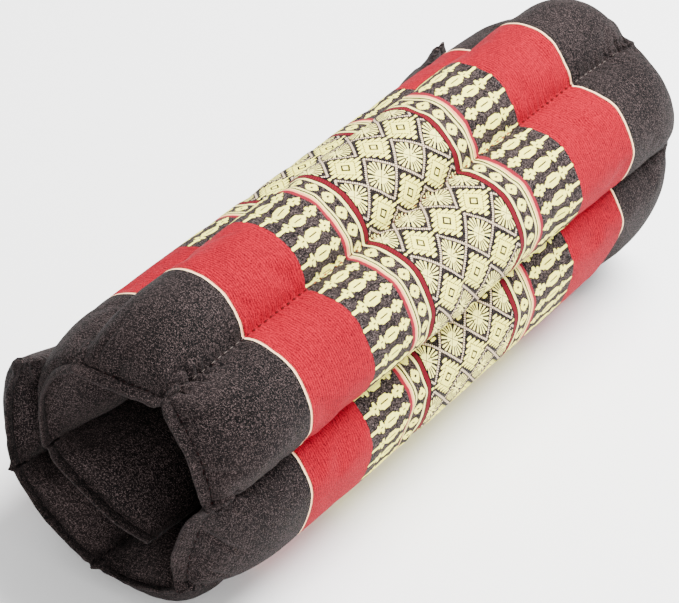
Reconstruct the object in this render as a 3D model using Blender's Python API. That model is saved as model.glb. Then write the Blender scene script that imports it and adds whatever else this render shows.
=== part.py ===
# A rollable meditation cushion: a kapok-filled mat, sewn into eight channels and rolled up
# with its channels along the roll.
# +X runs along the roll to its far end, -Y is the side with the roll's two best-seen channels,
# and +Z is up. The origin is on the ground, under the middle of the roll.

import math
from collections import namedtuple

import bmesh
import bpy
from mathutils import Vector

MM = 0.001

# Driving dimensions, in millimetres
ROLL_LENGTH = 500
HEM_WIDTH = 7  # the flat strip outside the stitches that close each end
SEWN_THICKNESS = 3  # the two covers where a seam holds them together
NEAR_CLOSING = 48  # from the near hem's stitches to where a channel is full
FAR_CLOSING = 36  # the same at the far end, which is blunter
FULLNESS = 2.3  # a channel's outer curve: 2 is an ellipse, more is squarer

# How finely the curves are cut
OUTER_STEPS = 9
INNER_STEPS = 6
CLOSING_STEPS = 6
SEAM_STEPS = (78, 105, 160)

COVER_COLOUR = (0.028, 0.022, 0.021, 1)
COVER_ROUGHNESS = 0.85

# The seams in order from the mat's inner edge to its outer edge. Each is a point of the roll's
# section, as (y, z) in millimetres above the ground: at mid-length, at the near hem at -X,
# and at the far hem at +X. The eases are how far from each hem a seam leaves its straight run.
Seam = namedtuple("Seam", "name middle near_hem far_hem near_ease far_ease")
SEAMS = (
    Seam("inner edge", (-33, 53), (-32, 55), (-32, 55), 90, 90),
    Seam("core floor to core side", (46, 90), (45, 92), (45, 92), 90, 90),
    Seam("core side to top", (18, 166), (18, 162), (17, 161), 90, 90),
    Seam("top to shoulder", (-48, 167), (-48, 165), (-49, 163), 90, 90),
    Seam("shoulder to flank", (-80, 102), (-79, 101), (-81, 101), 90, 90),
    Seam("flank to base", (-56, 28), (-55, 30), (-55, 30), 90, 90),
    Seam("base to heel", (12, 15), (12, 17), (14, 17), 90, 90),
    Seam("heel to back", (77, 45), (73, 64), (82, 53), 120, 120),
    Seam("outer edge", (75, 111), (63, 149), (106, 111), 60, 110),
)

# The channels between those seams. A channel swells by `outer` away from the hollow and by
# `inner` towards it, and its hems bow outwards by `near_bow` and `far_bow`, in millimetres.
Channel = namedtuple("Channel", "name outer inner near_bow far_bow")
CHANNELS = (
    Channel("core floor", 29, 16, 9, 9),
    Channel("core side", 29, 18, 17, 18),
    Channel("top", 32, 18, -1, 17),
    Channel("shoulder", 31, 18, 4, 12),
    Channel("flank", 25, 18, -12, 8),
    Channel("base", 30, 15, 10, 8),
    Channel("heel", 29, 18, 10, 8),
    Channel("back", 25, 14, 8, 4),
)


def remaining(distance, length):
    # What is left of a change that a hem starts and that ends `length` from it.
    return 1 - min(max(distance / length, 0), 1)


def seam_points(x):
    # Every seam's point in the section at x, eased from each hem's place to the straight run.
    points = []
    for seam in SEAMS:
        middle = Vector(seam.middle)
        near = remaining(ROLL_LENGTH / 2 + x, seam.near_ease) ** 2
        far = remaining(ROLL_LENGTH / 2 - x, seam.far_ease) ** 2
        to_near = Vector(seam.near_hem) - middle
        to_far = Vector(seam.far_hem) - middle
        points.append(middle + to_near * near + to_far * far)
    return points


def swelling(x):
    # How full the channels are at x: 0 in a hem, 1 past the rounded closing.
    closing = NEAR_CLOSING if x < 0 else FAR_CLOSING
    left = remaining(ROLL_LENGTH / 2 - abs(x) - HEM_WIDTH, closing)
    return math.sqrt(1 - left * left)


def outward(start, end):
    # The unit normal of a channel's chord, pointing away from the roll's hollow.
    along = (end - start).normalized()
    return Vector((along.y, -along.x))


def sewn_edges(points):
    # The outer and inner face of the sewn layers at each seam, square to the seam's two chords.
    normals = [outward(a, b) for a, b in zip(points, points[1:])]
    outer = []
    inner = []
    for index, point in enumerate(points):
        before = normals[max(index - 1, 0)]
        after = normals[min(index, len(normals) - 1)]
        offset = (before + after).normalized() * SEWN_THICKNESS / 2
        outer.append(point + offset)
        inner.append(point - offset)
    return outer, inner


def full_rise(along):
    # A plump curve over a chord, square to it at both ends.
    return max(1 - abs(2 * along - 1) ** FULLNESS, 0) ** (1 / FULLNESS)


def shallow_rise(along):
    # A flatter curve, which leaves its ends at a slant.
    return 4 * along * (1 - along)


def curve(start, end, swell, bow, steps, rise):
    # The points of one channel's face after its start: the chord, moved out by the swelling
    # that `rise` shapes and by the hem's bow.
    normal = outward(start, end)
    points = []
    for step in range(1, steps + 1):
        along = (1 - math.cos(math.pi * step / steps)) / 2
        height = swell * rise(along) + bow * shallow_rise(along)
        points.append(start.lerp(end, along) + normal * height)
    return points


def section(x):
    # The closed outline at x: the roll's outer face from the inner edge to the outer edge,
    # then its inner face back.
    outer, inner = sewn_edges(seam_points(x))
    full = swelling(x)
    there = [outer[0]]
    back = [inner[0]]
    for index, channel in enumerate(CHANNELS):
        bow = (channel.near_bow if x < 0 else channel.far_bow) * (1 - full)
        there += curve(outer[index], outer[index + 1], channel.outer * full, bow,
                       OUTER_STEPS, full_rise)
        back += curve(inner[index], inner[index + 1], -channel.inner * full, bow,
                      INNER_STEPS, shallow_rise)
    return [Vector((x, point.x, max(point.y, 0))) * MM for point in there + back[::-1]]


def from_hem(closing):
    # How far from a hem the sections are taken, closest where the channels close.
    distances = [0]
    for step in range(CLOSING_STEPS + 1):
        quarter = math.pi / 2 * step / CLOSING_STEPS
        distances.append(HEM_WIDTH + closing * (1 - math.cos(quarter)))
    return distances + list(SEAM_STEPS)


def stations():
    # Where sections are taken, from the near hem to the far hem.
    half = ROLL_LENGTH / 2
    near = [distance - half for distance in from_hem(NEAR_CLOSING)]
    far = [half - distance for distance in from_hem(FAR_CLOSING)]
    return near + [0] + far[::-1]


def rolled_mesh():
    # One section's face, extruded from station to station. The `place` layer numbers each
    # section's points, and an extrusion copies it.
    bm = bmesh.new()
    place = bm.verts.layers.int.new("place")
    first, *others = [section(x) for x in stations()]
    corners = [bm.verts.new(point) for point in first]
    for index, corner in enumerate(corners):
        corner[place] = index
    front = bm.faces.new(corners)
    for outline in others:
        made = bmesh.ops.extrude_face_region(bm, geom=[front, *front.edges])["geom"]
        front = next(item for item in made if isinstance(item, bmesh.types.BMFace))
        for corner in front.verts:
            corner.co = outline[corner[place]]
    bmesh.ops.recalc_face_normals(bm, faces=bm.faces)
    return bm


def centre_across(bm):
    # Sets the middle of the roll's width on Y = 0.
    across = [corner.co.y for corner in bm.verts]
    shift = Vector((0, -(min(across) + max(across)) / 2, 0))
    bmesh.ops.translate(bm, verts=bm.verts, vec=shift)


def cover_material():
    material = bpy.data.materials.new("cover_cloth")
    material.use_nodes = True
    shader = material.node_tree.nodes["Principled BSDF"]
    shader.inputs["Base Color"].default_value = COVER_COLOUR
    shader.inputs["Roughness"].default_value = COVER_ROUGHNESS
    shader.inputs["Metallic"].default_value = 0
    return material


def rolled_cushion():
    bm = rolled_mesh()
    centre_across(bm)
    mesh = bpy.data.meshes.new("rolled_cushion")
    bm.to_mesh(mesh)
    bm.free()
    mesh.shade_smooth()
    mesh.materials.append(cover_material())
    cushion = bpy.data.objects.new("rolled_cushion", mesh)
    bpy.context.scene.collection.objects.link(cushion)
    return cushion


for leftover in list(bpy.data.objects):
    bpy.data.objects.remove(leftover, do_unlink=True)

rolled_cushion()
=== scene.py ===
import math

import bmesh
import bpy
from mathutils import Matrix, Vector, noise


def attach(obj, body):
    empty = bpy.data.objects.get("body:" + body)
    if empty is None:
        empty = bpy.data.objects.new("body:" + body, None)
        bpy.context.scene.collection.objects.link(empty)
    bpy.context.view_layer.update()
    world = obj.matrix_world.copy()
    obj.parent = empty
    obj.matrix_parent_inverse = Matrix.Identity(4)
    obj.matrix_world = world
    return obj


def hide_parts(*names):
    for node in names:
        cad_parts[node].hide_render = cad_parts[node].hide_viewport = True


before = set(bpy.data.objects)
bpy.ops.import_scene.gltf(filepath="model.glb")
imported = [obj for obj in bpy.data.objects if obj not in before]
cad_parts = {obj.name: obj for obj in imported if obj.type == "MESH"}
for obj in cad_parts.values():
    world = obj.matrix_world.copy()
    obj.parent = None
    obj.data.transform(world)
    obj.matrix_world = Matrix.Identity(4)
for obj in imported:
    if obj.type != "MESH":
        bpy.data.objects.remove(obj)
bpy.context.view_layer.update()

mm = 0.001


def say(stage):
    print("scene:", stage)


view = {
    "turn": -53.91,     # degrees round the roll, 0 looks along +Y
    "height": 35.0,     # degrees above the ground
    "distance": 2.06,
    "target": (0, -0.0062, 0.082),
    "lens": 169.745,
    "shift": (-0.01944, -0.0134),
}


def addCamera():
    turn = math.radians(view["turn"])
    height = math.radians(view["height"])
    level = math.cos(height)
    back = Vector((math.sin(turn) * level, -math.cos(turn) * level, math.sin(height)))
    right = Vector((math.cos(turn), math.sin(turn), 0))
    up = back.cross(right)
    data = bpy.data.cameras.new("camera")
    data.sensor_fit = "HORIZONTAL"
    data.sensor_width = 36
    data.lens = view["lens"]
    data.shift_x, data.shift_y = view["shift"]
    camera = bpy.data.objects.new("camera", data)
    turned = Matrix((right, up, back)).transposed().to_4x4()
    place = Vector(view["target"]) + back * view["distance"]
    camera.matrix_world = Matrix.Translation(place) @ turned
    bpy.context.scene.collection.objects.link(camera)
    bpy.context.scene.camera = camera


def linear(red, green, blue):
    # a colour as it is read off a screen, 0 to 255, made linear
    def channel(value):
        value /= 255
        return value / 12.92 if value <= 0.04045 else ((value + 0.055) / 1.055) ** 2.4
    return (channel(red), channel(green), channel(blue), 1)


def plug(tree, socket, value):
    if isinstance(value, bpy.types.NodeSocket):
        tree.links.new(value, socket)
    else:
        socket.default_value = value


def addNode(tree, kind, inputs, **settings):
    made = tree.nodes.new(kind)
    for name, value in settings.items():
        setattr(made, name, value)
    for name, value in inputs.items():
        plug(tree, made.inputs[name], value)
    return made


def calc(tree, operation, *values):
    made = tree.nodes.new("ShaderNodeMath")
    made.operation = operation
    for socket, value in zip(made.inputs, values):
        plug(tree, socket, value)
    return made.outputs[0]


def times(tree, first, second):
    return calc(tree, "MULTIPLY", first, second)


def plus(tree, first, second):
    return calc(tree, "ADD", first, second)


def minus(tree, first, second):
    return calc(tree, "SUBTRACT", first, second)


def divided(tree, first, second):
    return calc(tree, "DIVIDE", first, second)


def scaled(tree, value, gain, shift):
    return calc(tree, "MULTIPLY_ADD", value, gain, shift)


def below(tree, value, limit):
    return calc(tree, "LESS_THAN", value, limit)


def above(tree, value, limit):
    return calc(tree, "GREATER_THAN", value, limit)


def blendColour(tree, amount, first, second, how="MIX"):
    made = tree.nodes.new("ShaderNodeMix")
    made.data_type = "RGBA"
    made.blend_type = how
    plug(tree, made.inputs[0], amount)
    plug(tree, made.inputs[6], first)
    plug(tree, made.inputs[7], second)
    return made.outputs[2]


def within(tree, value, low, high):
    return calc(tree, "COMPARE", value, (low + high) / 2, (high - low) / 2)


def steps(tree, value, span, heights):
    # a stepped curve of value over 0 to span: (where a step ends, its height), heights up to 10
    ramp = tree.nodes.new("ShaderNodeValToRGB")
    ramp.color_ramp.interpolation = "CONSTANT"
    stops = ramp.color_ramp.elements
    stops.remove(stops[1])
    start = 0
    for index, (end, height) in enumerate(heights):
        stop = stops[0] if index == 0 else stops.new(start / span)
        stop.position = start / span
        level = height / 10
        stop.color = (level, level, level, 1)
        start = end
    plug(tree, ramp.inputs[0], divided(tree, value, span))
    return times(tree, ramp.outputs[0], 10)


roll = {
    "length": 500,
    "hem": 7,               # flat strip outside the end stitches
    "sewn": 3,              # both covers where they are sewn together
    "nearClosing": 48,
    "farClosing": 36,
    "fullness": 2.3,
    "across": -6.2,         # centres the roll's width on Y = 0
    "upperSteps": 30,       # rows of cloth in a channel
    "underSteps": 20,
    "endSteps": (17, 14),   # columns in the near and far closings
    "middleSteps": 84,
    "hemReach": 30,         # how far in from a hem its ears and dips are felt
    "lowest": 0.3,          # how far above the ground the cloth lies
    "fullTo": 190,          # from here to the ends the cloth is measured along its rise
}

# seam by seam from the mat's inner edge: (y, z) at mid-length, near hem, far hem, and its two eases
seams = [
    ((-33, 53), (-32, 55), (-32, 55), 90, 90),
    ((46, 90), (45, 92), (45, 92), 90, 90),
    ((18, 166), (18, 162), (17, 161), 90, 90),
    ((-48, 167), (-48, 165), (-49, 163), 90, 90),
    ((-80, 102), (-79, 101), (-81, 101), 90, 90),
    ((-56, 28), (-55, 30), (-55, 30), 90, 90),
    ((12, 15), (12, 17), (14, 17), 90, 90),
    ((77, 45), (73, 64), (82, 53), 120, 120),
    ((75, 111), (63, 149), (106, 111), 105, 150),
]

# how far each channel swells out and in, and how its near and far hems bow
channels = [
    (29, 16, 9, 9),
    (29, 18, 17, 23),
    (32, 18, -1, 20),
    (31, 18, 4, 15),
    (25, 18, -5, 8),
    (30, 15, 10, 8),
    (29, 18, 10, 8),
    (25, 14, 8, 4),
]

# mm less that each channel swells out at the far end: it starts at slimFrom, and takes slimOver mm
slimmer = [0, 0, 0, 0, 5, 0, 0, 0]
slimFrom = -60
slimOver = 240

# both covers together at distances from an end, in mm
hemLayers = [(0, 2.2), (1.4, 3.3), (3.4, 3.9), (5.4, 3.8), (7, 1.3), (9, 2.6), (12, 3)]

# how far each seam's end stands past the hems beside it, near and far
ears = [(0, 0), (2, 3), (2, 4), (3, 5), (3, 5), (2, 3), (2, 3), (1, 3), (2, 4)]
hemDip = (1.5, 1.5)

# where a hem is drawn in: near end (0) or far end (1), seam place, how far in along the roll and
# towards the hollow, and half its width, in mm
nicks = [
    (0, 0.97, 2, 1, 5), (0, 1.92, 2.5, 1, 6), (0, 2.86, 4, 2, 5), (0, 3.0, 3, 0, 5), (0, 3.9, 3.5, 2, 4),
    (0, 4.0, 4, 0, 5), (0, 5.32, 2, 1.5, 5), (0, 5.95, 3, 1, 4), (0, 6.0, 4.5, 0, 5), (0, 6.5, 1, 1.5, 7),
    (0, 7.0, 4.5, 0, 5), (0, 7.85, 2, 2, 5), (1, 2.9, 3, 1.5, 5), (1, 3.94, 3, 2, 5), (1, 4.0, 3, 0, 4),
    (1, 5.0, 3, 0, 5), (1, 6.1, 3, 1, 5),
]

# degrees that each channel's hem turns in towards the hollow, near and far
hemTurn = [(10, 20), (25, 20), (30, 30), (20, 30), (70, 30), (25, 30), (15, 30), (10, 20)]


def remaining(distance, length):
    return 1 - min(max(distance / length, 0), 1)


def seamPoints(x):
    points = []
    for middle, nearHem, farHem, nearEase, farEase in seams:
        middle = Vector(middle)
        near = remaining(roll["length"] / 2 + x, nearEase) ** 2
        far = remaining(roll["length"] / 2 - x, farEase) ** 2
        points.append(middle + (Vector(nearHem) - middle) * near + (Vector(farHem) - middle) * far)
    return points


def swelling(x):
    closing = roll["nearClosing"] if x < 0 else roll["farClosing"]
    left = remaining(roll["length"] / 2 - abs(x) - roll["hem"], closing)
    return math.sqrt(1 - left * left)


def outward(start, end):
    along = (end - start).normalized()
    return Vector((along.y, -along.x))


def sewnThickness(x):
    # thin at the end stitches and at the very edge, and thicker where the hem is folded in
    fromEnd = roll["length"] / 2 - abs(x)
    for (da, ta), (db, tb) in zip(hemLayers, hemLayers[1:]):
        if fromEnd <= db:
            return ta + (tb - ta) * max(fromEnd - da, 0) / (db - da)
    return roll["sewn"]


def sewnEdges(points, thickness):
    normals = [outward(a, b) for a, b in zip(points, points[1:])]
    outer = []
    inner = []
    for index, point in enumerate(points):
        before = normals[max(index - 1, 0)]
        after = normals[min(index, len(normals) - 1)]
        offset = (before + after).normalized() * thickness / 2
        outer.append(point + offset)
        inner.append(point - offset)
    return outer, inner


def fullRise(along):
    return max(1 - abs(2 * along - 1) ** roll["fullness"], 0) ** (1 / roll["fullness"])


def shallowRise(along):
    return 4 * along * (1 - along)


def nicked(place, end, chord):
    # how far a hem's edge is drawn in at a place, along the roll and towards the hollow
    back = inwards = 0
    for nickEnd, middle, depth, dip, width in nicks:
        if nickEnd == end:
            share = remaining(abs(place - middle) * chord, width)
            back += depth * share
            inwards += dip * share
    return back, inwards


def coverLine(x, face, steps):
    # one cover's points at x, from the mat's inner edge to its outer edge
    outer, inner = sewnEdges(seamPoints(x), sewnThickness(x))
    edges = outer if face == "upper" else inner
    full = swelling(x)
    end = 0 if x < 0 else 1
    fromEnd = roll["length"] / 2 - abs(x)
    felt = remaining(fromEnd, roll["hemReach"]) ** 2
    pastStitches = max(roll["hem"] - fromEnd, 0)
    line = []
    for index, (out, into, nearBow, farBow) in enumerate(channels):
        start, stop = edges[index], edges[index + 1]
        normal = outward(start, stop)
        bow = (nearBow, farBow)[end] * (1 - full)
        out -= slimmer[index] * min(max((x - slimFrom) / slimOver, 0), 1)
        swell, rise = (out * full, fullRise) if face == "upper" else (-into * full, shallowRise)
        turn = math.radians(hemTurn[index][end])
        for step in range(0 if index == 0 else 1, steps + 1):
            along = (1 - math.cos(math.pi * step / steps)) / 2
            height = swell * rise(along) + bow * shallowRise(along)
            bend = turn * shallowRise(along) ** 0.5
            back, inwards = nicked(index + along, end, (stop - start).length)
            height -= pastStitches * math.sin(bend) + inwards * felt
            reach = ears[index][end] * (1 - along) + ears[index + 1][end] * along
            reach = felt * (reach - hemDip[end] * shallowRise(along))
            reach -= pastStitches * (1 - math.cos(bend))
            reach -= back * pastStitches / roll["hem"]
            point = start.lerp(stop, along) + normal * height
            lifted = max(point.y, roll["lowest"])
            line.append(Vector((x + math.copysign(reach, x), point.x + roll["across"], lifted)) * mm)
    return line


def columnPlaces():
    # X of every column of cells, closer together where the channels close
    half = roll["length"] / 2
    hem = roll["hem"]

    def fromEnd(closing, count):
        quarters = [math.pi / 2 * k / count for k in range(1, count + 1)]
        return [0, 1.4, 3.4, 5.4, hem] + [hem + closing * (1 - math.cos(turn)) for turn in quarters]

    near = fromEnd(roll["nearClosing"], roll["endSteps"][0])
    far = fromEnd(roll["farClosing"], roll["endSteps"][1])
    start, end = near[-1] - half, half - far[-1]
    count = roll["middleSteps"]
    middle = [start + (end - start) * k / count for k in range(1, count)]
    return [d - half for d in near] + middle + [half - d for d in reversed(far)]


# where the woven bands lie: a place along the roll, and the same place on the evenly woven cloth
weaveShift = [(-250, -250), (-175.6, -175.6), (-114.4, -114.1), (-74.9, -71.5), (-50, -46.1), (42, 45.9),
              (68.6, 71.5), (113.8, 114.1), (175.6, 175.6), (250, 250)]


def onCloth(x):
    for (xa, ua), (xb, ub) in zip(weaveShift, weaveShift[1:]):
        if x <= xb:
            return ua + (ub - ua) * (x - xa) / (xb - xa)
    return x


def clothRows(face, steps):
    # how far along the cloth each row lies, in mm from the seam before the top channel
    line = coverLine(0, "upper", roll["upperSteps"])
    seamRow = 2 * roll["upperSteps"]
    distances = [0]
    for a, b in zip(line, line[1:]):
        distances.append(distances[-1] + (b - a).length / mm)
    start = distances[seamRow]
    if face == "upper":
        return [d - start for d in distances]
    rows = []
    for channel in range(len(channels)):
        low = distances[channel * roll["upperSteps"]]
        high = distances[(channel + 1) * roll["upperSteps"]]
        for step in range(steps):
            rows.append(low + (high - low) * step / steps - start)
    return rows + [distances[-1] - start]


def weftLine(points, places):
    # how far along its cloth each point of a row lies: the closings are longer than they look
    count = len(places)
    first = next(k for k in range(count) if places[k] >= -roll["fullTo"])
    last = max(k for k in range(count) if places[k] <= roll["fullTo"])
    line = [onCloth(x) for x in places]
    for k in range(first - 1, -1, -1):
        line[k] = line[k + 1] - (points[k] - points[k + 1]).length / mm
    for k in range(last + 1, count):
        line[k] = line[k - 1] + (points[k] - points[k - 1]).length / mm
    return line


def addCover(bm, face, steps, material):
    # a flat sheet, one cell for each column and row, then laid onto the roll
    places = columnPlaces()
    rows = steps * len(channels)
    lines = [coverLine(x, face, steps) for x in places]
    cloth = clothRows(face, steps)
    woven = [weftLine([line[row] for line in lines], places) for row in range(rows + 1)]
    layers = bm.verts.layers.float
    names = ("across", "along", "place", "side", "weft")
    for name in names:
        if name not in layers:
            layers.new(name)
    across, along, place, side, weft = [layers[name] for name in names]
    sheet = bmesh.ops.create_grid(bm, x_segments=len(places) - 1, y_segments=rows, size=1)["verts"]
    for vert in sheet:
        column = round((vert.co.x + 1) / 2 * (len(places) - 1))
        row = round((vert.co.y + 1) / 2 * rows)
        vert.co = lines[column][row]
        vert[along] = places[column]
        vert[across] = cloth[row]
        vert[place] = row / steps
        vert[weft] = woven[row][column]
        vert[side] = 1 if face == "upper" else -1
    for cell in {cell for vert in sheet for cell in vert.link_faces}:
        cell.material_index = material
    return sheet


def bridgeEdges(bm, upper, under, test):
    upper = {vert for vert in upper if test(vert)}
    under = {vert for vert in under if test(vert)}
    edges = [edge for edge in bm.edges if edge.is_boundary
             and (all(v in upper for v in edge.verts) or all(v in under for v in edge.verts))]
    bmesh.ops.bridge_loops(bm, edges=edges)


def layUv(mesh):
    uv = mesh.uv_layers.new(name="cloth")
    weft = mesh.attributes["weft"].data
    across = mesh.attributes["across"].data
    for loop in mesh.loops:
        point = loop.vertex_index
        uv.data[loop.index].uv = (weft[point].value * mm, across[point].value * mm)


def rolledMat(upperCloth, underCloth):
    bm = bmesh.new()
    upper = addCover(bm, "upper", roll["upperSteps"], 0)
    under = addCover(bm, "under", roll["underSteps"], 1)
    along = bm.verts.layers.float["along"]
    across = bm.verts.layers.float["across"]
    half = roll["length"] / 2
    low = min(vert[across] for vert in upper)
    high = max(vert[across] for vert in upper)
    bridgeEdges(bm, upper, under, lambda vert: vert[along] < -half + 0.01)
    bridgeEdges(bm, upper, under, lambda vert: vert[along] > half - 0.01)
    bridgeEdges(bm, upper, under, lambda vert: vert[across] < low + 0.01)
    bridgeEdges(bm, upper, under, lambda vert: vert[across] > high - 0.01)
    bmesh.ops.recalc_face_normals(bm, faces=bm.faces)
    mesh = bpy.data.meshes.new("rolled_mat")
    bm.to_mesh(mesh)
    bm.free()
    mesh.materials.append(upperCloth)
    mesh.materials.append(underCloth)
    layUv(mesh)
    mesh.shade_smooth()
    mat = bpy.data.objects.new("rolled_mat", mesh)
    bpy.context.scene.collection.objects.link(mat)
    return mat


def attribute(mesh, name):
    return [item.value for item in mesh.attributes[name].data]


settling = {
    "quality": 6,
    "mass": 0.3,
    "stretch": 15,
    "shear": 5,
    "bending": 0.5,
    "pressure": 4.0,        # the filling's
    "spareCloth": 0.012,
    "frames": 20,
    "most": 2.0,            # mm a point may move while it swells
    "seamHold": 14,         # mm beside a seam where the swelling is held back
}


def swellCloth(piece):
    # the filling's pressure fills the covers out, while every seam, hem and edge holds
    mesh = piece.data
    along = attribute(mesh, "along")
    place = attribute(mesh, "place")
    inHem = roll["length"] / 2 - roll["hem"] - 0.01
    held = piece.vertex_groups.new(name="held")
    sewn = [index for index in range(len(along)) if abs(along[index]) > inHem
            or abs(place[index] - round(place[index])) < 0.01]
    held.add(sewn, 1, "REPLACE")
    before = [vert.co.copy() for vert in mesh.vertices]
    swelling = piece.modifiers.new("swelling", "CLOTH")
    cloth = swelling.settings
    cloth.quality = settling["quality"]
    cloth.mass = settling["mass"]
    cloth.tension_stiffness = settling["stretch"]
    cloth.compression_stiffness = settling["stretch"]
    cloth.shear_stiffness = settling["shear"]
    cloth.bending_stiffness = settling["bending"]
    cloth.use_pressure = True
    cloth.uniform_pressure_force = settling["pressure"]
    cloth.effector_weights.gravity = 0
    cloth.vertex_group_mass = "held"
    cloth.shrink_min = -settling["spareCloth"]
    swelling.collision_settings.use_collision = False
    swelling.point_cache.frame_start = 1
    swelling.point_cache.frame_end = settling["frames"]
    scene = bpy.context.scene
    for number in range(1, settling["frames"] + 1):
        scene.frame_set(number)
    shown = piece.evaluated_get(bpy.context.evaluated_depsgraph_get()).to_mesh()
    after = [vert.co.copy() for vert in shown.vertices]
    piece.modifiers.clear()
    scene.frame_set(1)
    most = settling["most"] * mm
    freedom = [min(abs(value - round(value)) * 100 / settling["seamHold"], 1) for value in place]
    furthest = 0
    for vert, start, end in zip(mesh.vertices, before, after):
        moved = (end - start) * freedom[vert.index]
        furthest = max(furthest, moved.length)
        if moved.length > most:
            moved = moved.normalized() * most
        vert.co = start + moved
    say(f"cloth swelled by up to {furthest / mm:.1f} mm")


def applyAll(piece):
    # keeps what the modifiers show as the mesh itself
    depsgraph = bpy.context.evaluated_depsgraph_get()
    shown = bpy.data.meshes.new_from_object(
        piece.evaluated_get(depsgraph), preserve_all_data_layers=True, depsgraph=depsgraph)
    piece.modifiers.clear()
    piece.data = shown


def smoothOnce(piece):
    finer = piece.modifiers.new("finer", "SUBSURF")
    finer.levels = 1
    finer.render_levels = 1
    finer.boundary_smooth = "ALL"
    applyAll(piece)
    piece.data.shade_smooth()


pucker = {
    "clothPerChannel": 95,  # mm of cloth that one channel stands for in the folds below
    "seamPitch": 6.4,       # mm from pleat to pleat beside a seam
    "seamDepth": 3.8,
    "seamWidth": 5,
    "hemPitch": 0.105,      # the same beside a hem, as a share of the channel
    "hemDepth": 1.0,
    "hemWidth": 7,
    "edgeWave": 1.3,        # how far a hem's flat strip waves in and out
    "waveReach": 3,         # mm past the hem's stitches that the wave is felt
    "foldsFrom": 200,       # the folds below lie between here and the ends
}

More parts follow.
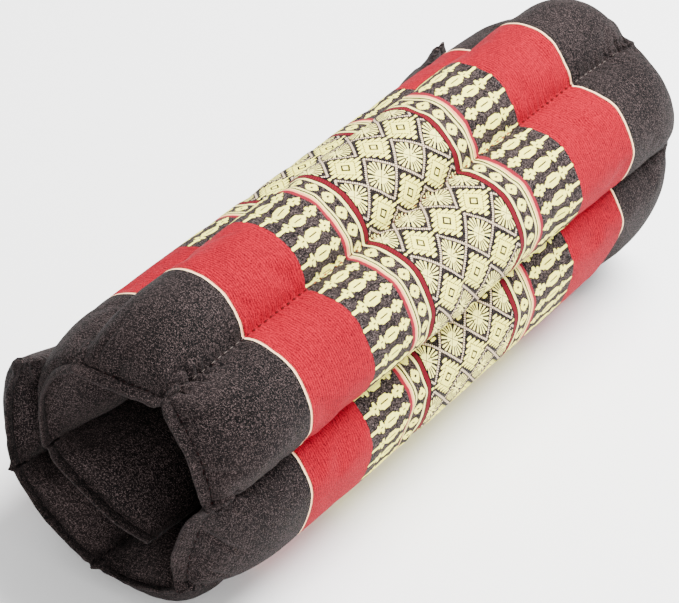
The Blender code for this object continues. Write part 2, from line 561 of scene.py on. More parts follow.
# folds in the cloth: face, from (x, seam place) to (x, seam place), half width and height in mm, and
# how far it leans to one side, from 0, a round ridge, to 1, a step
folds = [
    # where the core side meets the top, near
    ("upper", (-251, 1.93), (-226, 1.97), 2.6, 3.4, 0.4),
    ("upper", (-250, 1.86), (-232, 1.90), 2.0, -2.6, 0.3),
    ("upper", (-251, 2.08), (-228, 2.03), 2.4, 3.0, -0.4),
    ("upper", (-246, 2.13), (-234, 2.09), 1.8, -2.4, 0.3),
    ("under", (-251, 1.94), (-230, 1.98), 2.4, 2.2, 0.3),
    ("under", (-250, 2.07), (-232, 2.03), 2.4, 2.0, -0.3),
    # core floor to core side, near
    ("under", (-251, 0.93), (-234, 0.97), 2.0, 2.4, 0.3),
    ("under", (-250, 1.07), (-230, 1.03), 2.2, -2.6, 0.4),
    ("under", (-244, 1.10), (-236, 1.18), 1.6, 1.8, 0),
    # top to shoulder, near: one long tuck with a crumple in it
    ("upper", (-251, 2.84), (-217, 2.90), 2.4, -4.6, 0.5),
    ("upper", (-250, 2.91), (-233, 2.96), 2.2, 3.6, 0.3),
    ("upper", (-240, 2.88), (-232, 2.97), 1.8, -2.8, 0),
    ("upper", (-228, 2.90), (-222, 2.99), 1.7, -2.2, 0.3),
    ("upper", (-248, 3.07), (-232, 3.03), 2.2, 2.2, -0.4),
    ("upper", (-229, 3.02), (-224, 3.16), 2.0, 1.8, 0),
    ("upper", (-221, 3.02), (-215, 3.13), 2.0, 1.5, 0),
    ("upper", (-236, 3.02), (-233, 3.15), 1.6, -2.8, 0),
    ("upper", (-226, 3.01), (-221, 3.11), 1.5, -2.8, 0),
    ("upper", (-217, 3.01), (-211, 3.10), 1.5, -2.6, 0),
    ("upper", (-208, 3.01), (-203, 3.09), 1.5, -2.4, 0),
    ("upper", (-199, 3.01), (-195, 3.08), 1.5, -2.0, 0),
    ("upper", (-241, 2.30), (-227, 2.38), 1.9, -2.4, 0.4),
    ("upper", (-242, 2.46), (-234, 2.58), 1.6, -1.6, 0),
    ("upper", (-242, 3.30), (-231, 3.36), 1.8, -2.0, 0.3),
    ("upper", (-242, 3.62), (-226, 3.70), 1.9, -2.2, -0.3),
    # shoulder to flank, near: a flap folded over
    ("upper", (-251, 3.86), (-232, 3.87), 1.8, -3.4, 0.8),
    ("upper", (-234, 3.86), (-231, 3.99), 1.8, -2.8, 0.6),
    ("upper", (-247, 3.93), (-236, 3.93), 3.2, 3.1, 0),
    ("upper", (-250, 4.06), (-226, 4.04), 2.2, 2.5, -0.5),
    ("upper", (-232, 4.02), (-214, 4.18), 2.6, 2.2, 0.3),
    ("upper", (-238, 4.03), (-229, 4.20), 1.5, -2.0, 0.3),
    ("upper", (-222, 4.02), (-214, 4.14), 1.4, -1.8, 0),
    ("upper", (-212, 4.02), (-206, 4.12), 1.4, -1.6, 0),
    ("upper", (-203, 4.02), (-198, 4.10), 1.3, -1.4, 0),
    ("upper", (-241, 4.42), (-224, 4.50), 1.9, -2.2, 0.3),
    ("upper", (-236, 4.66), (-222, 4.72), 2.0, -2.0, -0.3),
    # flank to base, near
    ("upper", (-251, 4.90), (-224, 4.96), 2.2, 2.8, 0.5),
    ("upper", (-250, 4.82), (-230, 4.92), 2.4, -2.5, 0.3),
    ("under", (-251, 4.91), (-230, 4.96), 2.4, 2.5, 0.4),
    ("under", (-251, 5.10), (-228, 5.05), 2.2, -2.8, 0.5),
    ("under", (-242, 5.30), (-222, 5.34), 1.7, -1.9, 0.3),
    ("under", (-242, 5.42), (-226, 5.45), 1.6, 1.6, 0),
    ("under", (-243, 5.66), (-224, 5.70), 1.7, -1.8, -0.3),
    # base to heel and heel to back, near
    ("under", (-251, 5.86), (-232, 5.93), 2.2, 2.7, 0.5),
    ("under", (-250, 6.08), (-231, 6.04), 2.4, -2.7, 0.4),
    ("upper", (-251, 5.93), (-234, 5.97), 2.4, 2.5, 0),
    ("under", (-251, 6.93), (-235, 6.97), 2.4, 2.5, 0.3),
    ("under", (-250, 7.08), (-230, 7.03), 2.4, -2.5, 0.3),
    # gathers under the near corner of the outer edge
    ("under", (-243, 8.0), (-240, 7.62), 2.2, 2.2, 0.3),
    ("under", (-234, 8.0), (-233, 7.66), 2.0, -2.2, 0.3),
    ("under", (-226, 8.0), (-227, 7.70), 2.0, 1.8, 0.3),
    ("upper", (-242, 8.0), (-238, 7.66), 2.4, 2.1, 0.3),
    ("upper", (-231, 8.0), (-229, 7.70), 2.4, -2.0, 0.3),
    # the far end
    ("upper", (251, 2.90), (222, 2.95), 2.4, -2.5, -0.4),
    ("upper", (251, 3.08), (224, 3.04), 2.4, 2.5, 0.4),
    ("upper", (234, 2.98), (230, 2.84), 2.0, -1.7, 0),
    ("upper", (226, 3.02), (220, 3.16), 2.0, 1.8, 0),
    ("upper", (251, 3.92), (230, 3.96), 2.4, 2.5, -0.4),
    ("upper", (250, 4.08), (228, 4.03), 2.4, -2.5, 0.4),
    ("upper", (251, 1.92), (230, 1.97), 2.4, 2.2, -0.4),
    ("upper", (251, 4.92), (230, 4.97), 2.4, 2.2, -0.4),
    ("upper", (251, 6.08), (230, 6.03), 2.4, 2.2, 0.4),
    ("under", (251, 0.92), (232, 0.97), 2.4, 2.2, -0.4),
    ("under", (251, 2.08), (232, 2.03), 2.4, 2.2, 0.4),
    ("under", (251, 4.92), (230, 4.97), 2.4, -2.2, -0.4),
    ("under", (251, 6.08), (232, 6.03), 2.4, 2.2, 0.4),
    ("upper", (243, 8.0), (239, 7.6), 2.4, 2.2, 0.3),
    ("upper", (232, 8.0), (230, 7.66), 2.4, -2.1, 0.3),
]


def foldRise(x, place, fold):
    _, (xa, pa), (xb, pb), width, height, lean = fold
    scale = pucker["clothPerChannel"]
    start = Vector((xa, pa * scale))
    run = Vector((xb, pb * scale)) - start
    away = Vector((x, place * scale)) - start
    share = away.dot(run) / run.length_squared
    if not -0.2 < share < 1.2:
        return 0
    across = (away.x * run.y - away.y * run.x) / run.length / width
    if abs(across) > 2.5:
        return 0
    fade = min(1.2 - share, 1) * min(share + 1.2, 1)
    bell = math.exp(-across * across)
    return height * bell * (1 - abs(lean) + 2.2 * lean * across) * fade


def pleated(turns):
    # a row of pleats, from -1 in their narrow bottoms to 1 on their broad tops
    return 2 * abs(math.sin(math.pi * turns)) ** 0.7 - 1


def rippleRise(x, place, side):
    # what the seams' and hems' thread draws up beside it; each noise has its own coarseness and seed
    seam = round(place)
    gap = abs(place - seam) * pucker["clothPerChannel"]
    fromStitches = roll["length"] / 2 - roll["hem"] - abs(x)
    rise = 0
    if gap < 30 and 0 < seam < len(channels):
        side *= 1 if place > seam else -1
        reach = pucker["seamWidth"] * (1 + 0.8 * noise.noise(Vector((x / 9, seam * 2.3, side * 5.1))))
        drawn = math.exp(-gap / reach) - math.exp(-gap / 1.1)
        drift = noise.noise(Vector((x / 19, seam * 3.1, side * 2.3))) * 1.1
        strength = 0.4 + 0.7 * math.exp(-max(fromStitches, 0) / 40)
        strength *= 0.75 + 0.9 * noise.noise(Vector((x / 21, seam * 5.7, side)))
        rise += pucker["seamDepth"] * strength * max(drawn, 0) * pleated(x / pucker["seamPitch"] + drift)
    if 0 <= fromStitches < 50:
        reach = pucker["hemWidth"] * (1 + 0.9 * noise.noise(Vector((place * 9, math.copysign(6, x), side))))
        drawn = math.exp(-fromStitches / reach) - math.exp(-fromStitches / 1.5)
        drift = noise.noise(Vector((place * 6.1, math.copysign(4, x), side))) * 0.9
        strength = 0.15 + 0.85 * math.exp(-abs(place - round(place)) / 0.1)
        strength *= 0.6 + 1.2 * max(noise.noise(Vector((place * 5.3, math.copysign(9, x), side))), -0.4)
        rise += pucker["hemDepth"] * strength * max(drawn, 0) * pleated(place / pucker["hemPitch"] + drift)
    return rise


def edgeWave(x, place):
    # both covers of a hem's flat strip wave together, most at the very edge
    end = math.copysign(1, x)
    points = seamPoints(x)
    index = min(int(place), len(channels) - 1)
    away = outward(points[index], points[index + 1])
    share = remaining(roll["length"] / 2 - abs(x), roll["hem"] + pucker["waveReach"])
    wave = noise.noise(Vector((place * 5, end * 7, 0)))
    wave += 0.6 * noise.noise(Vector((place * 14, end * 3, 2)))
    seam = min(abs(place - round(place)) * 12, 1)
    return Vector((0, away.x, away.y)) * wave * pucker["edgeWave"] * share * seam


def creaseCloth(piece):
    mesh = piece.data
    along = attribute(mesh, "along")
    place = attribute(mesh, "place")
    side = attribute(mesh, "side")
    half = roll["length"] / 2
    near = {(name, end): [fold for fold in folds if fold[0] == name and fold[1][0] * end > 0]
            for name in ("upper", "under") for end in (-1, 1)}
    moved = []
    for vert in mesh.vertices:
        index = vert.index
        x, at, face = along[index], place[index], side[index]
        rise = rippleRise(x, at, face)
        if abs(x) > pucker["foldsFrom"]:
            cover = "upper" if face > 0 else "under"
            rise += sum(foldRise(x, at, fold) for fold in near[cover, 1 if x > 0 else -1])
        # the very edge of a hem takes only a little of each fold
        rise *= 0.12 + 0.88 * min(max(half - abs(x), 0) / (roll["hem"] + 1), 1)
        where = vert.co + vert.normal * rise * mm
        if half - abs(x) < roll["hem"] + pucker["waveReach"]:
            where += edgeWave(x, at) * mm
        moved.append(where)
    for vert, where in zip(mesh.vertices, moved):
        vert.co = where
        vert.co.z = max(where.z, roll["lowest"] * mm)


weave = {
    "thread": 0.46,           # mm from thread to thread
    "run": 0.9,               # mm that a thread keeps one tone
    "ribPitch": 1.9,          # mm from rib to rib
    "ribDrift": (2.5, 7),     # mm that a rib wavers, and what a seam adds
    "ribReach": 14,           # mm beside a seam where it does
    "fleckPower": 4.5,        # the higher, the fewer light flecks in the black cloth
    "black": linear(4, 3, 3),
    "blackLight": linear(84, 71, 70),
    "red": linear(173, 0, 34),
    "redDark": linear(48, 0, 4),
    "borderRed": linear(118, 18, 32),
    "borderDark": linear(56, 4, 14),
    "rimRed": linear(134, 32, 48),
    "cream": linear(246, 230, 60),
    "creamPale": linear(255, 250, 134),
    "rosette": linear(250, 240, 160),
    "lineShade": linear(214, 194, 136),
    "hairline": linear(26, 20, 10),
    "olive": linear(72, 60, 24),
    "rope": linear(238, 216, 184),
    "ropeShade": linear(104, 82, 58),
    "ivory": linear(238, 152, 112),
    "paleLine": linear(252, 222, 176),
    "ground": linear(5, 3, 3),
    "groundLight": linear(110, 94, 92),
    "latticeWide": 28.9,      # mm from diamond to diamond along the roll
    "latticeHigh": 37.8,      # and round it
    "latticeStart": 57.4,     # a row of diamonds, from the seam before the top channel
    "columnLead": 3.9,        # the flower columns come this much before the diamonds
    "latticeEnd": 46.1,       # mm from the middle of the roll, as the next five
    "borderFlowers": 58.4,
    "borderGround": (53.9, 63.2),
    "columnsStart": 71.5,
    "redStart": 114.1,
    "redEnd": 174.4,
    "ply": 1.3,               # mm from turn to turn of a plied thread
    "holeShadeUpper": (0.3, 0.1, 0.1, 1),        # painted shade: multiplies the cloth's colour where a stitch goes in
    "holeUnder": (0.15, 0.12, 0.12, 1),
}

# the cloth's finish, and how high each part of its relief stands
clothFinish = {
    "roughness": 0.8,
    "sheen": 0.015,
    "sheenRoughness": 0.5,
    "specular": 0.06,
    "bump": 0.55,
    "bumpDepth": 0.0004,
    "figures": 0.6,
    "threads": 0.5,
    "ribs": 0.4,
    "puckers": 1.6,
    "grain": 0.2,
}

# a flower column from the red band to the border: where each step ends, as a share, and half its
# height in mm
flowerColumn = [
    (0.010, 0.6), (0.173, 1.2), (0.185, 1.9), (0.220, 2.6), (0.249, 1.9), (0.258, 3.0), (0.307, 4.2),
    (0.319, 3.0), (0.332, 1.6), (0.351, 0.9), (0.361, 1.9), (0.402, 2.6), (0.424, 3.2), (0.434, 3.8),
    (0.605, 4.1), (0.615, 3.6), (0.629, 3.0), (0.673, 2.5), (0.688, 1.8), (0.709, 1.2), (0.737, 0.8),
    (0.746, 1.8), (0.790, 2.5), (0.810, 1.9), (0.820, 3.3), (0.873, 4.2), (0.883, 3.3), (0.902, 2.0),
    (0.941, 2.5), (0.956, 1.7), (0.980, 1.0), (1.0, 0.5),
]

# the figures of the lattice, in mm
figure = {
    "diamondWide": 14.2,     # half its width and height, to the tips of its teeth
    "diamondHigh": 13.9,
    "toothPitch": 2.9,
    "toothLength": 4.0,
    "innerRing": (2.3, 4.0),
    "outerRing": (8.0, 9.1),
    "ropeFrom": 3.0,         # how far from a row of diamonds a rope starts
    "ropeHalf": 0.68,
    "ropeTwist": 1.5,
    "ropeEdge": 0.75,        # the dark line beside it
    "petalTurn": 18,         # degrees from petal to petal of a rosette
    "petalReach": (11.5, 9.9),
    "petalGap": 0.42,
    "petalTaper": 0.06,
    "petalRoot": 4.6,
    "petalCrowd": 0.07,      # the petals crowd where they lie along the roll or round it
}


def clothPlace(tree):
    # the place on the cloth in mm: along the roll, and round it
    uv = addNode(tree, "ShaderNodeUVMap", {}, uv_map="cloth").outputs[0]
    parts = addNode(tree, "ShaderNodeSeparateXYZ", {"Vector": uv}).outputs
    return uv, times(tree, parts[0], 1000), times(tree, parts[1], 1000)


def speckle(tree, place, scale, detail):
    inputs = {"Vector": place, "Scale": scale, "Detail": detail}
    return addNode(tree, "ShaderNodeTexNoise", inputs).outputs[0]


def stored(tree, name):
    # a value that the mesh keeps for each of its points
    return addNode(tree, "ShaderNodeAttribute", {}, attribute_name=name).outputs["Fac"]


def threadTone(tree, thread, along, run, seed):
    # a tone for each stretch of each thread, 0 to 1
    stretch = calc(tree, "FLOOR", scaled(tree, thread, 0.618, divided(tree, along, run)))
    place = addNode(tree, "ShaderNodeCombineXYZ", {"X": thread, "Y": stretch, "Z": seed}).outputs[0]
    made = addNode(tree, "ShaderNodeTexWhiteNoise", {"Vector": place}, noise_dimensions="3D")
    return made.outputs[0]


def crossedThreads(tree, along, across):
    # a plain weave: its tone, thread by thread, and its relief, both 0 to 1
    pitch = weave["thread"]
    warp = divided(tree, along, pitch)
    weft = divided(tree, across, pitch)
    warpThread = calc(tree, "FLOOR", warp)
    weftThread = calc(tree, "FLOOR", weft)
    warpTone = threadTone(tree, warpThread, across, weave["run"], 1.5)
    weftTone = threadTone(tree, weftThread, along, weave["run"], 7.5)
    over = calc(tree, "PINGPONG", plus(tree, warpThread, weftThread), 1)
    tone = scaled(tree, minus(tree, warpTone, weftTone), over, weftTone)
    # the relief is low between two threads, and 1 on their tops
    bumps = []
    for value in (warp, weft):
        off = scaled(tree, calc(tree, "FRACT", value), 2, -1)
        bumps.append(scaled(tree, times(tree, off, off), -0.8, 1))
    return tone, times(tree, *bumps)


def fromSeam(tree):
    # mm from the nearest seam, round the roll
    return times(tree, calc(tree, "PINGPONG", stored(tree, "place"), 0.5), pucker["clothPerChannel"])


def ribs(tree, uv, along):
    # fine ribs round the roll, 0 to 1, which waver more beside the seams
    gap = fromSeam(tree)
    near = calc(tree, "EXPONENT", divided(tree, gap, -weave["ribReach"]))
    usual, atSeam = weave["ribDrift"]
    drift = minus(tree, speckle(tree, uv, 110, 1), 0.5)
    drift = times(tree, drift, scaled(tree, near, atSeam, usual))
    turns = divided(tree, plus(tree, along, drift), weave["ribPitch"])
    return scaled(tree, calc(tree, "SINE", times(tree, turns, 2 * math.pi)), 0.5, 0.5)


def clipped(tree, value, gain, shift):
    # value times gain plus shift, kept within 0 to 1
    return calc(tree, "MINIMUM", calc(tree, "MAXIMUM", scaled(tree, value, gain, shift), 0), 1)


def blackCloth(tree, uv, tone, threads, rib):
    patch = speckle(tree, uv, 18, 3)
    flecks = calc(tree, "POWER", tone, weave["fleckPower"])
    amount = plus(tree, times(tree, patch, 0.3), flecks)
    # painted shade: the black is darker between the threads and lighter on their tops
    lit = scaled(tree, threads, 0.7, 0.45)
    amount = times(tree, clipped(tree, amount, 1, -0.15), lit)
    amount = times(tree, amount, scaled(tree, rib, 0.5, 0.85))
    return blendColour(tree, amount, weave["black"], weave["blackLight"])


def seamShade(tree, along):
    # small puckers beside the seams and hems, and the painted shade that gathers where the thread goes in
    gap = fromSeam(tree)
    near = calc(tree, "EXPONENT", divided(tree, gap, -3.5))
    wave = calc(tree, "SINE", times(tree, along, 2 * math.pi / stitch["pitch"]))
    # painted shade: dark dashes in the needle holes right beside a seam
    hole = times(tree, below(tree, gap, stitch["seamHoleShade"]), above(tree, wave, 0.2))
    # past a hem's stitches the cloth rises steeply, so it is much longer than it looks from above
    stitched = roll["length"] / 2 - roll["hem"]
    past = minus(tree, calc(tree, "ABSOLUTE", stored(tree, "along")), stitched)
    inside = calc(tree, "SQRT", calc(tree, "MAXIMUM", times(tree, past, -1), 0))
    hemGap = scaled(tree, inside, 6, calc(tree, "MAXIMUM", past, 0))
    hemTurns = 2 * math.pi * pucker["clothPerChannel"] / stitch["pitch"]
    hemWave = calc(tree, "SINE", times(tree, stored(tree, "place"), hemTurns))
    # painted shade: dark dashes in the needle holes along a hem's stitches
    hemHoleShade = times(tree, below(tree, hemGap, stitch["hemHoleShade"]), above(tree, hemWave, -0.4))
    nearHem = times(tree, calc(tree, "EXPONENT", divided(tree, hemGap, -1.5)), 0.35)
    drawn = plus(tree, times(tree, near, wave), times(tree, nearHem, hemWave))
    return calc(tree, "MAXIMUM", hole, hemHoleShade), drawn


def clothRelief(tree, uv, threads, drawn, higher):
    # `higher` is what stands above the threads: figures and ribs
    grain = speckle(tree, uv, 900, 2)
    height = scaled(tree, threads, clothFinish["threads"], higher)
    height = scaled(tree, drawn, clothFinish["puckers"], height)
    return scaled(tree, grain, clothFinish["grain"], height)


def finishCloth(tree, material, colour, relief):
    shader = tree.nodes["Principled BSDF"]
    plug(tree, shader.inputs["Base Color"], colour)
    shader.inputs["Roughness"].default_value = clothFinish["roughness"]
    shader.inputs["Sheen Weight"].default_value = clothFinish["sheen"]
    shader.inputs["Sheen Roughness"].default_value = clothFinish["sheenRoughness"]
    shader.inputs["Specular IOR Level"].default_value = clothFinish["specular"]
    heights = {"Height": relief, "Strength": clothFinish["bump"], "Distance": clothFinish["bumpDepth"]}
    bump = addNode(tree, "ShaderNodeBump", heights)
    tree.links.new(bump.outputs[0], shader.inputs["Normal"])
    return material


def latticeFigures(tree, along, across, waver):
    # the centre's figures: all its cream, the rosettes alone, the ropes, the dark lines, the ropes'
    # twist, and the relief
    wide = weave["latticeWide"] / 2
    high = weave["latticeHigh"] / 2
    u = calc(tree, "PINGPONG", plus(tree, along, waver), wide)
    v = calc(tree, "PINGPONG", minus(tree, across, weave["latticeStart"]), high)

    # a diamond is a stack of floats, and each ends in a round tooth
    slope = figure["diamondWide"] / figure["diamondHigh"]
    pitch = figure["toothPitch"]
    level = times(tree, calc(tree, "ROUND", divided(tree, v, pitch)), pitch)
    aside = calc(tree, "ABSOLUTE", minus(tree, v, level))
    tip = minus(tree, figure["diamondWide"], times(tree, level, slope))
    inside = minus(tree, tip, u)
    rounded = times(tree, times(tree, aside, aside), 0.6)
    diamond = above(tree, inside, rounded)
    slit = scaled(tree, minus(tree, figure["toothLength"], inside), 0.12, 0.26)
    slit = times(tree, slit, below(tree, inside, figure["toothLength"]))
    slit = above(tree, slit, minus(tree, pitch / 2, aside))
    diamond = times(tree, diamond, minus(tree, 1, slit))
    reach = scaled(tree, v, slope, u)
    inner = within(tree, reach, *figure["innerRing"])
    dots = calc(tree, "SINE", times(tree, v, 2 * math.pi / weave["ply"]))
    ring = within(tree, reach, *figure["outerRing"])
    outer = times(tree, ring, above(tree, dots, -0.6))
    diamond = times(tree, diamond, minus(tree, 1, inner))

    # a rosette's petals stand round its centre
    du = minus(tree, wide, u)
    dv = minus(tree, high, v)
    radius = calc(tree, "SQRT", plus(tree, times(tree, du, du), times(tree, dv, dv)))
    petalTurn = math.radians(figure["petalTurn"])
    angle = calc(tree, "ARCTAN2", dv, du)
    crowd = calc(tree, "SINE", times(tree, angle, 4))
    turns = divided(tree, scaled(tree, crowd, figure["petalCrowd"], angle), petalTurn)
    off = times(tree, times(tree, calc(tree, "PINGPONG", turns, 0.5), petalTurn), radius)
    bulge = divided(tree, times(tree, times(tree, du, dv), 2), scaled(tree, radius, radius, 0.01))
    most, least = figure["petalReach"]
    edge = scaled(tree, times(tree, bulge, bulge), least - most, most)
    petals = below(tree, scaled(tree, times(tree, off, off), 1.1, radius), edge)
    beside = minus(tree, times(tree, radius, petalTurn / 2), off)
    halfGap = times(tree, minus(tree, radius, figure["petalRoot"]), figure["petalTaper"])
    gap = below(tree, beside, plus(tree, halfGap, figure["petalGap"]))
    gap = times(tree, gap, above(tree, radius, figure["petalRoot"]))
    slant = calc(tree, "ABSOLUTE", minus(tree, du, dv))
    heart = times(tree, below(tree, slant, 0.3), below(tree, radius, 5.5))
    bar = times(tree, below(tree, dv, 0.33), within(tree, du, 2.0, 5.6))
    rosette = times(tree, petals, minus(tree, 1, calc(tree, "MAXIMUM", gap, bar)))

    # the ropes cross between the rosettes, and stop short where two diamonds meet
    rise = high - figure["ropeFrom"]
    length = math.hypot(wide, rise)
    off = scaled(tree, v, wide / length, -wide * high / length)
    off = plus(tree, times(tree, u, rise / length), off)
    down = minus(tree, times(tree, v, rise / length), times(tree, u, wide / length))
    twist = calc(tree, "SINE", times(tree, down, 2 * math.pi / figure["ropeTwist"]))
    bent = calc(tree, "ABSOLUTE", scaled(tree, twist, 0.22, off))
    started = above(tree, v, figure["ropeFrom"] - 0.8)
    rope = times(tree, below(tree, bent, figure["ropeHalf"]), started)
    clear = above(tree, bent, figure["ropeHalf"] + figure["ropeEdge"])
    cream = times(tree, calc(tree, "MAXIMUM", diamond, rosette), clear)
    faint = times(tree, calc(tree, "MAXIMUM", outer, heart), cream)
    lobes = times(tree, times(tree, aside, aside), diamond)
    relief = minus(tree, calc(tree, "MAXIMUM", cream, rope), times(tree, lobes, 0.2))
    pale = times(tree, rosette, clear)
    return cream, pale, rope, faint, scaled(tree, twist, 0.5, 0.5), relief


def upperClothMaterial():
    material = bpy.data.materials.new("woven_upper_cloth")
    material.use_nodes = True
    tree = material.node_tree
    uv, along, across = clothPlace(tree)
    # threads don't lie quite true, so each band's edge wavers a little
    waver = scaled(tree, speckle(tree, uv, 420, 1), 0.5, -0.25)
    far = calc(tree, "ABSOLUTE", plus(tree, along, waver))
    tone, threads = crossedThreads(tree, along, across)
    wide = speckle(tree, uv, 14, 2)

    rib = ribs(tree, uv, along)
    black = blackCloth(tree, uv, tone, threads, rib)
    redAmount = plus(tree, tone, times(tree, wide, 0.4))
    # painted shade: the red is darker between the threads and lighter on their tops
    lit = scaled(tree, threads, 0.6, 0.3)
    redAmount = times(tree, clipped(tree, redAmount, 1.1, -0.2), lit)
    redAmount = scaled(tree, rib, 0.32, redAmount)
    red = blendColour(tree, redAmount, weave["redDark"], weave["red"])
    flecks = calc(tree, "POWER", tone, weave["fleckPower"])
    ground = blendColour(tree, flecks, weave["ground"], weave["groundLight"])
    cream = blendColour(tree, clipped(tree, tone, 1.4, 0), weave["cream"], weave["creamPale"])
    plied = calc(tree, "SINE", times(tree, plus(tree, across, along), 2 * math.pi / weave["ply"]))
    plied = clipped(tree, plied, 0.6, 0.5)

    # rows of the figures round the cloth
    rise = minus(tree, across, weave["latticeStart"])
    third = weave["latticeHigh"] / 3
    columnTurn = calc(tree, "PINGPONG", plus(tree, rise, weave["columnLead"]), third / 2)

    # the flower columns between the red bands and the borders
    redStart = weave["redStart"]
    columnsStart = weave["columnsStart"]
    field = divided(tree, minus(tree, redStart, far), redStart - columnsStart)
    profile = steps(tree, field, 1, flowerColumn)
    columns = below(tree, columnTurn, profile)
    # painted shadow: the ground just beside a flower column is darker, as shade from its raised floats
    beside = below(tree, columnTurn, plus(tree, profile, 0.8))
    # dark slits along a column: from, to, and half the width
    for start, end, half in ((0.256, 0.302, 0.42), (0.430, 0.612, 0.42), (0.820, 0.875, 0.46)):
        hole = times(tree, within(tree, field, start, end), below(tree, columnTurn, half))
        columns = times(tree, columns, minus(tree, 1, hole))

    # the flowers in the dark border: where each step of a petal ends, and half its height
    aside = calc(tree, "ABSOLUTE", minus(tree, far, weave["borderFlowers"]))
    petals = [(1.2, 4.5), (1.6, 3.4), (2.4, 3.5), (2.8, 2.6), (3.4, 2.3), (4.1, 1.3), (4.4, 0)]
    reach = petals[-1][0]
    petalHalf = steps(tree, calc(tree, "MINIMUM", aside, reach - 0.01), reach, petals)
    flower = below(tree, columnTurn, petalHalf)
    centre = times(tree, below(tree, aside, 1.0), below(tree, columnTurn, 0.7))
    flower = times(tree, flower, minus(tree, 1, centre))

    inLattice = below(tree, far, weave["latticeEnd"])
    inField = within(tree, far, columnsStart, redStart)
    inBorder = within(tree, far, *weave["borderGround"])
    latticeCream, pale, rope, faint, twist, relief = latticeFigures(tree, along, across, waver)
    figures = times(tree, columns, inField)
    figures = calc(tree, "MAXIMUM", figures, times(tree, flower, inBorder))
    figures = calc(tree, "MAXIMUM", figures, times(tree, latticeCream, inLattice))
    raised = calc(tree, "MAXIMUM", figures, times(tree, relief, inLattice))

    # painted shadow beside the flower columns darkens the ground; the lattice's ground is darker all over
    darker = times(tree, calc(tree, "MAXIMUM", times(tree, beside, inField), inLattice), 0.6)
    ground = blendColour(tree, darker, ground, weave["ground"])
    colour = blendColour(tree, within(tree, far, redStart, weave["redEnd"]), black, red)
    colour = blendColour(tree, below(tree, far, redStart), colour, ground)
    colour = blendColour(tree, figures, colour, cream)
    rosettes = times(tree, times(tree, pale, inLattice), 0.4)
    colour = blendColour(tree, rosettes, colour, weave["rosette"])
    darkLines = times(tree, times(tree, faint, inLattice), 0.96)
    colour = blendColour(tree, darkLines, colour, weave["olive"])
    ropeColour = blendColour(tree, twist, weave["ropeShade"], weave["rope"])
    colour = blendColour(tree, times(tree, rope, inLattice), colour, ropeColour)
    crimson = blendColour(tree, plied, weave["borderDark"], weave["borderRed"])
    rim = blendColour(tree, plied, weave["borderRed"], weave["rimRed"])
    line = blendColour(tree, plied, weave["lineShade"], weave["creamPale"])
    # from, to, colour
    bands = [
        (46.1, 47.0, weave["ground"]),
        (47.0, 50.5, crimson),
        (50.5, 51.3, weave["ground"]),
        (51.3, 53.5, line),
        (63.4, 65.0, line),
        (65.0, 66.1, weave["hairline"]),
        (66.1, 67.2, line),
        (67.2, 68.9, weave["ivory"]),
        (68.9, 71.5, rim),
        (174.9, 175.8, weave["ivory"]),
        (175.8, 176.7, weave["paleLine"]),
    ]
    for low, high, shade in bands:
        colour = blendColour(tree, within(tree, far, low, high), colour, shade)

    hole, drawn = seamShade(tree, along)
    # painted shade in the stitch holes beside the seams and hems darkens the cloth
    colour = blendColour(tree, hole, colour, weave["holeShadeUpper"], "MULTIPLY")
    higher = scaled(tree, rib, clothFinish["ribs"], times(tree, raised, clothFinish["figures"]))
    return finishCloth(tree, material, colour, clothRelief(tree, uv, threads, drawn, higher))


def underClothMaterial():
    material = bpy.data.materials.new("plain_under_cloth")
    material.use_nodes = True
    tree = material.node_tree
    uv, along, across = clothPlace(tree)
    tone, threads = crossedThreads(tree, along, across)
    hole, drawn = seamShade(tree, along)
    black = blackCloth(tree, uv, tone, threads, ribs(tree, uv, along))
    # painted shade in the stitch holes beside the seams and hems darkens the cloth
    colour = blendColour(tree, hole, black, weave["holeUnder"], "MULTIPLY")
    return finishCloth(tree, material, colour, clothRelief(tree, uv, threads, drawn, 0))


stitch = {
    "pitch": 5.6,
    "length": 3.4,
    "thick": 0.65,
    "lift": 0.1,
    "seamHoleShade": 0.85,       # mm beside a seam, and below beside a hem, where painted shade darkens the stitch holes
    "hemHoleShade": 1.0,
    # painted sheen: the thread is coloured pale grey where it lies on the black cloth
    "sheenOnBlack": linear(104, 95, 90),
    "onHem": linear(6, 5, 5),
    "onRed": linear(70, 0, 5),
    "onFigures": linear(40, 32, 26),
    "shade": (0.01, 0.008, 0.008, 1),
    "blackFrom": 176.5,     # mm from the middle of the roll, where the thread's colour changes
    "hemFrom": 238,
}


def threadMaterial():
    material = bpy.data.materials.new("seam_thread")
    material.use_nodes = True
    tree = material.node_tree
    place = addNode(tree, "ShaderNodeTexCoord", {}).outputs["Object"]
    parts = addNode(tree, "ShaderNodeSeparateXYZ", {"Vector": place}).outputs
    far = calc(tree, "ABSOLUTE", parts[0])
    ply = speckle(tree, place, 1500, 1)
    # the thread's colour changes along the roll; over the black cloth it is painted pale for its sheen
    colour = stitch["onHem"]
    for end, shade in (
        (stitch["hemFrom"], stitch["sheenOnBlack"]),
        (stitch["blackFrom"], stitch["onRed"]),
        (weave["redStart"], stitch["onFigures"]),
    ):
        colour = blendColour(tree, below(tree, far, end * mm), colour, shade)
    colour = blendColour(tree, times(tree, ply, 0.5), colour, stitch["shade"])
    shader = tree.nodes["Principled BSDF"]
    tree.links.new(colour, shader.inputs["Base Color"])
    shader.inputs["Roughness"].default_value = 0.6
    shader.inputs["Specular IOR Level"].default_value = 0.08
    bump = addNode(tree, "ShaderNodeBump", {"Height": ply, "Strength": 0.5, "Distance": 0.0002})
    tree.links.new(bump.outputs[0], shader.inputs["Normal"])
    return material


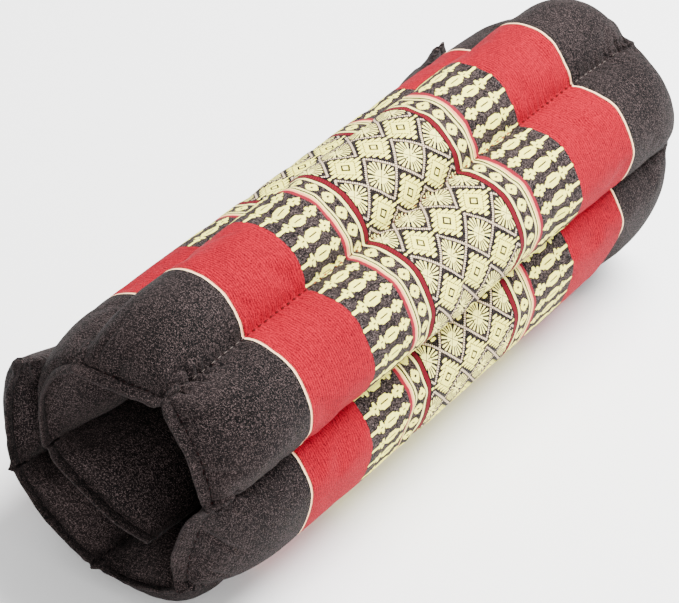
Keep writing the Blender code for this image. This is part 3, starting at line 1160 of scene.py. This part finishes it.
def oneStitch():
    bm = bmesh.new()
    bmesh.ops.create_uvsphere(bm, u_segments=6, v_segments=5, radius=0.5 * mm)
    # the sphere's faces come in another order each time, so they are put in a fixed one
    bm.verts.index_update()
    bm.faces.sort(key=lambda face: sum(2 ** vert.index for vert in face.verts))
    bmesh.ops.rotate(bm, verts=bm.verts, matrix=Matrix.Rotation(math.pi / 2, 3, "Y"))
    bmesh.ops.scale(bm, verts=bm.verts, vec=(stitch["length"], stitch["thick"], stitch["thick"]))
    mesh = bpy.data.meshes.new("stitch")
    bm.to_mesh(mesh)
    bm.free()
    return mesh


def layStitches(bm, shape, path, outwards):
    # one stitch after another along a path of points, each lying on the cloth
    pitch = stitch["pitch"] * mm
    travelled = 0
    due = pitch / 2
    for index, (a, b) in enumerate(zip(path, path[1:])):
        span = (b - a).length
        while due <= travelled + span:
            at = a.lerp(b, (due - travelled) / span)
            lift = outwards[index]
            direction = (b - a).normalized()
            cross = lift.cross(direction).normalized()
            up = direction.cross(cross)
            turned = Matrix((direction, cross, up)).transposed().to_4x4()
            placed = Matrix.Translation(at + lift * stitch["lift"] * mm) @ turned
            shape.transform(placed)
            bm.from_mesh(shape)
            shape.transform(placed.inverted())
            due += pitch
        travelled += span


def seamStitches(mat, material):
    # the stitches lie on the finished cloth: down every seam, and along both hems
    mesh = mat.data
    along = attribute(mesh, "along")
    place = attribute(mesh, "place")
    side = attribute(mesh, "side")
    rows = {}
    inHem = roll["length"] / 2 - roll["hem"]
    for vert in mesh.vertices:
        index = vert.index
        face = 1 if side[index] > 0.5 else -1 if side[index] < -0.5 else 0
        seam = round(place[index])
        onSeam = abs(place[index] - seam) < 0.001 and 0 < seam < len(channels)
        if face and onSeam and abs(along[index]) < inHem + 4:
            rows.setdefault(("seam", seam, face), []).append((along[index], vert))
        if face and abs(abs(along[index]) - inHem) < 0.01:
            rows.setdefault(("hem", along[index] > 0, face), []).append((place[index], vert))
    bm = bmesh.new()
    shape = oneStitch()
    for row in rows.values():
        row.sort(key=lambda item: item[0])
        layStitches(bm, shape, [vert.co for _, vert in row], [vert.normal for _, vert in row])
    made = bpy.data.meshes.new("seam_stitches")
    bm.to_mesh(made)
    bm.free()
    made.materials.append(material)
    made.shade_smooth()
    piece = bpy.data.objects.new("seam_stitches", made)
    bpy.context.scene.collection.objects.link(piece)
    return piece


studio = {
    "floor": linear(250, 250, 250),
    "floorSize": 8,
    "sky": 0.98,
    "key": 216,
    "keyAt": (0.9, -0.5, 1.9),
    "keySize": 1.6,
    "fill": 34,
    "fillAt": (-1.5, -1.4, 0.7),
    "fillSize": 1.2,
    "aim": (0, 0, 0.1),
}


def addFloor():
    bm = bmesh.new()
    bmesh.ops.create_grid(bm, x_segments=1, y_segments=1, size=studio["floorSize"] / 2)
    mesh = bpy.data.meshes.new("floor")
    bm.to_mesh(mesh)
    bm.free()
    material = bpy.data.materials.new("pale_floor")
    material.use_nodes = True
    shader = material.node_tree.nodes["Principled BSDF"]
    shader.inputs["Base Color"].default_value = studio["floor"]
    shader.inputs["Roughness"].default_value = 0.9
    mesh.materials.append(material)
    floor = bpy.data.objects.new("floor", mesh)
    bpy.context.scene.collection.objects.link(floor)


def addLamp(name, place, size, energy):
    data = bpy.data.lights.new(name, "AREA")
    data.shape = "DISK"
    data.size = size
    data.energy = energy
    lamp = bpy.data.objects.new(name, data)
    lamp.location = place
    lamp.rotation_euler = (Vector(place) - Vector(studio["aim"])).to_track_quat("Z", "Y").to_euler()
    bpy.context.scene.collection.objects.link(lamp)


def addLight():
    world = bpy.data.worlds.new("studio")
    world.use_nodes = True
    world.node_tree.nodes["Background"].inputs["Color"].default_value = (1, 1, 1, 1)
    world.node_tree.nodes["Background"].inputs["Strength"].default_value = studio["sky"]
    bpy.context.scene.world = world
    addLamp("key", studio["keyAt"], studio["keySize"], studio["key"])
    addLamp("fill", studio["fillAt"], studio["fillSize"], studio["fill"])


say("camera, floor and light")
addCamera()
addFloor()
addLight()

say("rolled mat")
rolledMatPiece = rolledMat(upperClothMaterial(), underClothMaterial())
swellCloth(rolledMatPiece)
smoothOnce(rolledMatPiece)
say("folds and puckers")
creaseCloth(rolledMatPiece)
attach(rolledMatPiece, "root")
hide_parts("rolled_cushion")

say("stitches")
stitches = seamStitches(rolledMatPiece, threadMaterial())
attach(stitches, "root")
